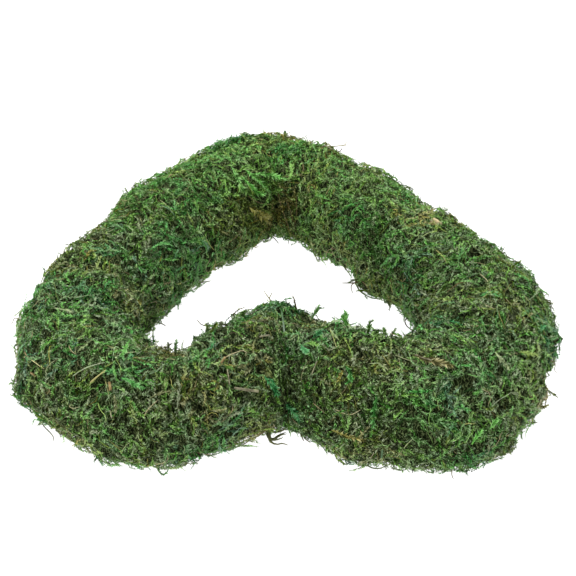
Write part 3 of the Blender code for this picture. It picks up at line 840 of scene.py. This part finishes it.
def leaf_uv(hues, lights, rng):
    """Where each leaf's corners lie on the map. A leaf is darker at its root, as painted shade, and lighter
    at its tip, as a painted highlight. lights is (count, each).
    """
    u = hues[:, None] + rng.normal(0, LEAF_HUE_SPREAD, lights.shape)
    u = np.clip(u, UV_HALF_WIDTH, 1 - UV_HALF_WIDTH)
    v = np.clip(lights + rng.normal(0, LEAF_LIGHT_SPREAD, lights.shape), *LEAF_LIGHT_RANGE)
    root_v = np.maximum(v - LEAF_ROOT_DARKER, LEAF_ROOT_DARKEST)
    corners = ((u + UV_HALF_WIDTH, root_v), (u, v + LEAF_TIP_LIGHTER), (u - UV_HALF_WIDTH, root_v))
    return np.stack([np.stack(corner, axis=-1) for corner in corners], axis=2)


def leaflets(paths, frames, sizes, width, spreads, hues, lights, rng, each=LEAFLETS):
    """Small pointed leaves in two ranks along each path: (vertices, faces, uv).

    width is half their width by their length, and spreads is how far they open, from 0 to 1.
    """
    count, points, _ = paths.shape
    share = LEAF_FIRST + LEAF_RUN * (np.arange(each) + rng.uniform(*LEAF_STAGGER, (count, each))) / each
    place = share * (points - 1)
    low = np.minimum(place.astype(int), points - 2)
    part = place - low
    rows = np.arange(count)[:, None]

    def between(values):
        weight = part.reshape(part.shape + (1,) * (values.ndim - 2))
        return values[rows, low] * (1 - weight) + values[rows, low + 1] * weight

    axes = [unit(between(values)) for values in frames]
    corners = leaf_corners(between(paths), axes, share, sizes, width, spreads, rng)
    uv = leaf_uv(hues, between(lights), rng)
    return repeat(corners.reshape(-1, 3, 3), [(0, 1, 2)], uv.reshape(-1, 3, 2))


def joined(name, parts, material):
    """One piece of several (vertices, faces, uv)."""
    starts = np.cumsum([0] + [len(vertices) for vertices, _, _ in parts])
    vertices, faces, uvs = zip(*parts)
    faces = [those + start for those, start in zip(faces, starts)]
    return mesh_from(name, np.vstack(vertices), np.vstack(faces), material, np.vstack(uvs))


# The fronds that cover a clump


def roots_on(bed, per_cm2, middle_line, rng):
    """Random places on the outside of a bed, in clumps, and fewer underneath."""
    vertices, faces = bed
    facing, middles, areas = outside_of(vertices, faces, middle_line)
    weight = areas * np.where(middles[:, 2] < FOOT_HEIGHT, UNDERSIDE_SHARE, 1.0)
    count = int(weight.sum() * CM2_PER_M2 * per_cm2)
    weight = weight * np.clip(CLUMP_MIDDLE + CLUMP_SWING * noise_at(middles, *CLUMP_NOISE), *CLUMP_RANGE)
    chosen = rng.choice(len(facing), count, p=weight / weight.sum())
    a, b = rng.random((2, count, 1))
    flip = a + b > 1
    a, b = np.where(flip, 1 - a, a), np.where(flip, 1 - b, b)
    corners = vertices[facing[chosen]]
    return corners[:, 0] + (corners[:, 1] - corners[:, 0]) * a + (corners[:, 2] - corners[:, 0]) * b


def headings_at(roots, middle_line, rng):
    """The way each frond sets out, as an angle on the skin: in locks, and either way along them."""
    sideways = np.clip(1 - middle_line.outwards(roots)[:, 2] / SIDE_FROM, 0, 1)
    heading = math.pi / 2 + (FLOW_TURN - FLOW_TURN_SIDE_LESS * sideways) * noise_at(roots, *FLOW_NOISE)
    heading = heading + LOCK_TURN * noise_at(roots, *LOCK_NOISE) + math.pi * (rng.random(len(roots)) < 0.5)
    return heading + rng.normal(0, HEADING_SPREAD - HEADING_SPREAD_SIDE_LESS * sideways)


def hue_at(places, rng):
    """Where on the ramp of moss colours a frond lies: patches of like colour, with strays."""
    patch = np.minimum(HUE_MIDDLE + noises_at(places, HUE_NOISES), HUE_HIGHEST)
    return np.clip(patch + rng.normal(0, HUE_SPREAD, len(places)), *HUE_RANGE)


def livened(hues, places):
    """The hues drawn to the vivid ones at the back of the wreath, and to the dull ones in front."""
    share = (places[:, 1] - VIVID_FROM) / VIVID_REACH
    vivid, dull = VIVID_PULL * np.clip(share, 0, 1), DULL_PULL * np.clip(-share, 0, 1)
    for wanted, pull in ((VIVID_HUES, vivid), (DULL_HUES, dull)):
        nearest = wanted[np.abs(hues[:, None] - wanted[None]).argmin(axis=1)]
        hues = hues + (nearest - hues) * pull
    return hues


def light_at(places, level, rng):
    """How light each frond is: darker deep in the tangle, which is partly painted shade and partly older
    moss; lighter low down, which is painted light from the floor; in patches, and pale at random.
    """
    # Painted light from the floor on fronds low down
    low = PAINTED_FLOOR_LIGHT * ease(1 - places[:, 2] / PAINTED_FLOOR_LIGHT_REACH)
    light = LIGHT_BOTTOM + LIGHT_BY_LEVEL * level + noises_at(places, LIGHT_NOISES) + low
    light = light + rng.normal(0, LIGHT_SPREAD, len(places))
    return light + np.where(rng.random(len(places)) < PALE_SHARE, PALE_LIGHTER, 0.0)


def heights_of(layer, lift, points):
    """Height over the skin along each path: in at the root, over at its layer, and lifted at the tip."""
    share = np.linspace(0, 1, points)[None]
    rise = np.clip(share / ROOT_SHARE, 0, 1)
    return -ROOT_DEPTH + (layer[:, None] + ROOT_DEPTH) * rise + lift[:, None] * share**TIP_CURVE


def fronds_of(kind, bed, skin, patches, rng):
    """The fronds of one kind on one clump, as parts to join. All kinds are first drawn as feathers."""
    middle_line = skin.middle_line
    roots = roots_on(bed, PER_CM2[kind], middle_line, rng)
    count = len(roots)

    def drawn(ranges, *names):
        return [rng.uniform(*ranges[name], count) for name in names]

    heading = headings_at(roots, middle_line, rng)
    (lengths,) = drawn(FEATHER, "length")
    level = rng.random(count)
    stands = rng.random(count) < STANDING_SHARE
    lift = np.where(stands, rng.uniform(*STANDING_LIFT, count), rng.uniform(*LYING_LIFT, count)) * MM
    (wander,) = drawn(FEATHER, "wander")
    hues = hue_at(roots, rng)
    light = light_at(roots, level, rng)
    thick, sizes, spreads = drawn(FEATHER, "stem", "leaf", "open")
    if kind == "cord":
        lengths, wander, thick, sizes, spreads = drawn(CORD, "length", "wander", "stem", "leaf", "open")
    if kind == "strand":
        hues = STRAND_HUE + rng.normal(0, STRAND_HUE_SPREAD, count)
        light -= STRAND_DARKER
        (thick,) = drawn(STRAND, "stem")
    hues, light = patches.tint(roots, hues, light)
    hues = livened(np.clip(hues + rng.normal(0, HUE_JITTER, count), *HUE_RANGE), roots)
    under = roots[:, 2] < UNDER_HEIGHT
    heights = heights_of(TOP_LAYER * level * np.where(under, UNDER_LAYER, 1.0), lift * ~under, FROND_POINTS)
    paths = creep(roots, heading, lengths * MM, heights, wander, skin)
    frames = frames_along(paths, middle_line.outwards(paths))
    share = np.linspace(0, 1, FROND_POINTS)[None]
    # Painted shade at the root and a painted highlight towards the tip
    lights = np.clip(light[:, None] - FROND_ROOT_DARKER + FROND_LIGHT_RISE * share, *LIGHT_RANGE)
    radii = (thick * MM)[:, None] * (1.0 - FROND_TAPER * share)
    parts = [stems(paths, frames, radii, hues, lights - STEM_DARKER)]
    if kind in LEAF_WIDTHS:
        parts.append(leaflets(paths, frames, sizes * MM, LEAF_WIDTHS[kind], spreads, hues, lights, rng))
    return parts


def moss(bed, name, material, skin, patches, rng):
    """The fronds and bare strands of one clump, which creep over it and over each other."""
    parts = []
    for kind in PER_CM2:
        parts += fronds_of(kind, bed, skin, patches, rng)
    return joined(name, parts, material)


# Single stalks, placed by pixel. A line is the x and y of its pixels, in one row


def smooth_line(line, count):
    """The line with its corners cut, as so many pixels at even steps."""
    line = np.array(line, float).reshape(-1, 2)
    for _ in range(CORNER_PASSES):
        first = line[:-1] * (1 - CORNER_CUT) + line[1:] * CORNER_CUT
        second = line[:-1] * CORNER_CUT + line[1:] * (1 - CORNER_CUT)
        line = np.vstack([line[:1], np.stack([first, second], axis=1).reshape(-1, 2), line[-1:]])
    run = np.concatenate([[0], np.cumsum(np.linalg.norm(np.diff(line, axis=0), axis=1))])
    steps = np.linspace(0, run[-1], count)
    return np.stack([np.interp(steps, run, line[:, k]) for k in range(2)], axis=1)


def laid(line, height, skin):
    """A path that lies on the fronds and is seen along the line. Its ends dip into the moss."""
    line = smooth_line(line, LAID_POINTS)
    share = np.linspace(0, 1, LAID_POINTS)
    rise = height * np.clip(np.minimum(share, 1 - share) / DIP_SHARE + DIP_START, 0, 1)
    sight = skin.sight
    far = np.array([(skin.seen(pixel) - sight.eye).length for pixel in line])
    for _ in range(EVENING_PASSES):
        far = np.minimum(far, np.convolve(np.pad(far, 1, mode="edge"), EVENING_WEIGHTS, mode="valid"))
    return np.array([sight.eye + sight.towards(pixel) * (d - r) for pixel, d, r in zip(line, far, rise)])


def wisp(line, skin, rng):
    """A path that starts in the moss and stands off it along the line, no lower than the floor."""
    sight, root = skin.sight, skin.seen(line[:2])
    away = (root - sight.eye).dot(sight.ahead)
    drift = float(rng.uniform(-WISP_DRIFT_MM, WISP_DRIFT_MM)) * MM / LAID_POINTS
    path = []
    for k, pixel in enumerate(smooth_line((*sight.pixel_of(root), *line), LAID_POINTS)):
        towards = sight.towards(pixel)
        place = sight.eye + towards * ((away + drift * k) / towards.dot(sight.ahead))
        if place.z < LOWEST:
            place = sight.eye + towards * ((LOWEST - sight.eye.z) / towards.z)
        path.append(place)
    return np.array(path)


def towards_viewer(paths, skin):
    """Halfway between straight up off the moss and towards the camera's place."""
    return unit(skin.middle_line.outwards(paths) + unit(np.array(skin.sight.eye) - paths))


def single_fronds(name, rows, paths, material, skin, rng, each):
    """Single stalks in one piece. Each row starts with (hue, light, thickness, size of the leaves)."""
    values = np.array([row[:STALK_VALUES] for row in rows], float).T
    hues, light = values[:2] / HUNDREDTHS
    thick, sizes = values[2:]
    share = np.linspace(0, 1, LAID_POINTS)[None]
    paths = np.array(paths)
    frames = frames_along(paths, towards_viewer(paths, skin))
    # Painted shade at the root and a painted highlight towards the tip
    lights = np.clip(light[:, None] - LAID_ROOT_DARKER + LAID_LIGHT_RISE * share, *LAID_LIGHT_RANGE)
    stem_lights = np.clip(lights - LAID_STEM_DARKER * (sizes > 0)[:, None], *LAID_LIGHT_RANGE)
    radii = thick[:, None] / 2 * MM * (1.0 - LAID_TAPER * share)
    parts = [stems(paths, frames, radii, hues, stem_lights, LAID_SIDES)]
    leafy = np.flatnonzero(sizes > 0)
    if len(leafy):
        paths, hues, lights, sizes = paths[leafy], hues[leafy], lights[leafy], sizes[leafy] * MM
        frames = [axis[leafy] for axis in frames]
        spreads = np.full(len(leafy), LAID_SPREAD)
        parts.append(leaflets(paths, frames, sizes, LAID_LEAF_WIDTH, spreads, hues, lights, rng, each))
    return joined(name, parts, material)


def twigs(name, rows, material, skin, rng):
    """Short dry sticks with blunt ends that lie on the moss. Each row is a thickness and a line."""
    paths = np.array([laid(line, TWIG_HEIGHT, skin) for _, *line in rows])
    for end, inner in ((0, 1), (-1, -2)):
        paths[:, end] = paths[:, inner] * (1 - TWIG_END_LENGTH) + paths[:, end] * TWIG_END_LENGTH
    radii = np.array([[row[0] / 2 * MM] for row in rows]) * rng.uniform(*TWIG_UNEVEN, paths.shape[:2])
    radii[:, 0] *= TWIG_END_WIDTH
    frames = frames_along(paths, towards_viewer(paths, skin))
    no_colour = np.zeros(paths.shape[:2])
    vertices, faces, _ = stems(paths, frames, radii, no_colour[:, 0], no_colour, TWIG_SIDES)
    return mesh_from(name, vertices, faces, material)


def strays(fronds, skin, rng):
    """The single stalks, sticks and wisps that the photograph shows."""
    leafy = [
        (hue, light, LAID_STEM_MM, leaf * LAID_LEAF_SCALE, *line) for hue, light, leaf, *line in LAID_FRONDS
    ]
    bare = [(hue, light, thick, 0, *line) for hue, light, thick, *line in LAID_STRANDS]
    kinds = (
        ("stray_fronds", leafy, LAID_LEAFLETS, "moss_emerald"),
        ("stray_strands", bare, 0, "moss_olive"),
        ("edge_wisps", WISPS, LEAFLETS, "moss_olive"),
    )
    for name, rows, each, slot in kinds:
        lines = [row[STALK_VALUES:] for row in rows]
        if rows is WISPS:
            paths = [wisp(line, skin, rng) for line in lines]
        else:
            paths = [laid(line, LAID_HEIGHT, skin) for line in lines]
        single_fronds(name, rows, paths, fronds, skin, rng, each)
    bark = noise_material("bark", BARK_STOPS, scale=420, roughness=0.75)
    husk = noise_material("husk", HUSK_STOPS, scale=420, roughness=0.7)
    for name, rows, material in (("twigs", TWIGS, bark), ("husks", HUSKS, husk)):
        twigs(name, rows, material, skin, rng)


# Materials


def new_material(name):
    """(material, its node tree, its shader)"""
    material = bpy.data.materials.new(name)
    material.use_nodes = True
    tree = material.node_tree
    return material, tree, tree.nodes["Principled BSDF"]


def fill(tree, node, inputs):
    """Sets a node's inputs by name. A value that is another node's output is linked."""
    for name, value in inputs.items():
        if isinstance(value, bpy.types.NodeSocket):
            tree.links.new(value, node.inputs[name])
        else:
            node.inputs[name].default_value = value


def add(tree, kind, inputs=None, output=0, **settings):
    """Adds a node, sets it, and gives back one of its outputs."""
    node = tree.nodes.new("ShaderNode" + kind)
    for name, value in settings.items():
        setattr(node, name, value)
    fill(tree, node, inputs or {})
    return node.outputs[output]


def ramp(tree, stops, place):
    """The colour at a place on a ramp with the given stops."""
    node = tree.nodes.new("ShaderNodeValToRGB")
    elements = node.color_ramp.elements
    while len(elements) > 1:
        elements.remove(elements[-1])
    elements[0].position, elements[0].color = stops[0][0], (*stops[0][1], 1)
    for position, colour in stops[1:]:
        elements.new(position).color = (*colour, 1)
    fill(tree, node, {"Fac": place})
    return node.outputs["Color"]


def mixed(tree, factor, a, b, blend="MIX"):
    return add(tree, "Mix", {"Factor": factor, "A": a, "B": b}, "Result", data_type="RGBA", blend_type=blend)


def bumped(tree, height, strength, distance):
    return add(tree, "Bump", {"Height": height, "Strength": strength, "Distance": distance}, "Normal")


def moss_material():
    """Fronds: across the map lie the moss's colours, and up it their shade, from dark to light."""
    material, tree, shader = new_material("moss_fronds")
    uv = add(tree, "UVMap", uv_map=UV_NAME)
    across, up = (add(tree, "SeparateXYZ", {"Vector": uv}, axis) for axis in "XY")
    # The lightest leaves are paled as a painted highlight
    colour = mixed(tree, ramp(tree, PAINTED_HIGHLIGHT_PALING, up), ramp(tree, MOSS_HUES, across), (*PAINTED_HIGHLIGHT_PALE, 1))
    mottle = add(tree, "TexNoise", {"Vector": uv, "Scale": 70, "Detail": 2}, "Fac")
    for shade in (ramp(tree, MOSS_LIGHTS, up), ramp(tree, MOSS_SPOTS, mottle)):
        colour = mixed(tree, 1.0, colour, shade, "MULTIPLY")
    fill(tree, shader, {"Base Color": colour, "Roughness": 0.6, "Specular IOR Level": 0.08})
    return material


def noise_material(name, stops, scale, roughness, stretch=(1, 1, 1), bump=0.6 * MM):
    """A matt material with the colours of a ramp, in streaks or spots."""
    material, tree, shader = new_material(name)
    place = add(tree, "TexCoord", output="Object")
    place = add(tree, "Mapping", {"Vector": place, "Scale": stretch}, "Vector")
    pattern = add(tree, "TexNoise", {"Vector": place, "Scale": scale, "Detail": 5}, "Fac")
    inputs = {"Base Color": ramp(tree, stops, pattern), "Normal": bumped(tree, pattern, 0.7, bump)}
    fill(tree, shader, {**inputs, "Roughness": roughness, "Specular IOR Level": 0.2})
    return material


def bed_material():
    """The matted moss under the fronds: curly threads of dark green, about a millimetre apart. Their dark is
    partly the moss's own and partly painted shade in the gaps between the fronds.
    """
    material, tree, shader = new_material("moss_bed")
    place = add(tree, "TexCoord", output="Object")
    waves = {"Scale": 160, "Distortion": 14, "Detail": 3, "Detail Scale": 2.2, "Detail Roughness": 0.6}
    curls = add(tree, "TexWave", {"Vector": place, **waves}, "Fac")
    patches = add(tree, "TexNoise", {"Vector": place, "Scale": 90, "Detail": 3}, "Fac")
    colour = mixed(tree, 1.0, ramp(tree, BED_STOPS, curls), ramp(tree, BED_SHADES, patches), "MULTIPLY")
    inputs = {"Base Color": colour, "Normal": bumped(tree, curls, 0.8, 1.2 * MM)}
    fill(tree, shader, {**inputs, "Roughness": 0.9, "Specular IOR Level": 0.05})
    return material


def wear(node, material):
    node.data.materials.clear()
    node.data.materials.append(material)


# Stage


def floor():
    bpy.ops.mesh.primitive_plane_add(size=FLOOR_SIZE, location=(0, 0, -FLOOR_DROP))
    plane = bpy.context.object
    plane.name = "floor"
    material, tree, shader = new_material("pale_floor")
    fill(tree, shader, {"Base Color": (*grey(FLOOR_GREY), 1), "Roughness": 0.9})
    fill(tree, shader, {"Emission Color": (1, 1, 1, 1), "Emission Strength": FLOOR_GLOW})
    plane.data.materials.append(material)


def aimed(name, data, place, way):
    """A lamp or camera at a place, which looks along a way."""
    thing = bpy.data.objects.new(name, data)
    thing.location = place
    thing.rotation_mode = "QUATERNION"
    thing.rotation_quaternion = way.to_track_quat("-Z", "Y")
    bpy.context.scene.collection.objects.link(thing)
    return thing


def lights():
    world = bpy.data.worlds.new("studio")
    world.use_nodes = True
    sky = {"Color": (1, 1, 1, 1), "Strength": SKY_STRENGTH}
    fill(world.node_tree, world.node_tree.nodes["Background"], sky)
    bpy.context.scene.world = world
    for name, place, size, power in LAMPS:
        light = bpy.data.lights.new(name, "AREA")
        light.shape = "DISK"
        light.size = size
        light.energy = power
        aimed(name, light, place, -Vector(place))


def camera(sight):
    data = bpy.data.cameras.new("camera")
    data.sensor_width = SENSOR_MM
    data.lens = CAMERA_FOCAL_PX * SENSOR_MM / FRAME_PX
    bpy.context.scene.camera = aimed("camera", data, sight.eye, sight.ahead)
    bpy.context.scene.view_settings.view_transform = "Standard"


def main():
    sight = Sight()
    middle_line = MiddleLine(frame["nodes"][STRAW])
    seams = Seams([frame["nodes"][name] for name in THREADS])
    beds = [bed_of(frame["nodes"][name], middle_line, seams) for name in PADS]
    beds = swelled(beds, middle_line, sight)
    skin = Skin(beds, middle_line, sight)
    patches = Patches(skin)
    fronds = moss_material()
    matted = bed_material()
    for k, (name, bed) in enumerate(zip(PADS, beds)):
        number = name.rsplit("_", 1)[-1]
        rng = np.random.default_rng(SEED * SEED_STEP + k)
        under = mesh_from(f"moss_bed_{number}", *bed, matted)
        over = moss(bed, f"moss_fronds_{number}", fronds, skin, patches, rng)
        for piece in (under, over):
            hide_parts(name)
    strays(fronds, skin, np.random.default_rng(SEED))
    wear(frame["nodes"][STRAW], noise_material("straw", STRAW_STOPS, 260, 0.8, stretch=(1, 1, 3)))
    thread = noise_material("thread", THREAD_STOPS, 900, 0.4, bump=0.1 * MM)
    for name in THREADS:
        wear(frame["nodes"][name], thread)
    floor()
    lights()
    camera(sight)
    total = sum(len(piece.data.polygons) for piece in bpy.data.objects if piece.type == "MESH")
    print("triangles", total)


main()
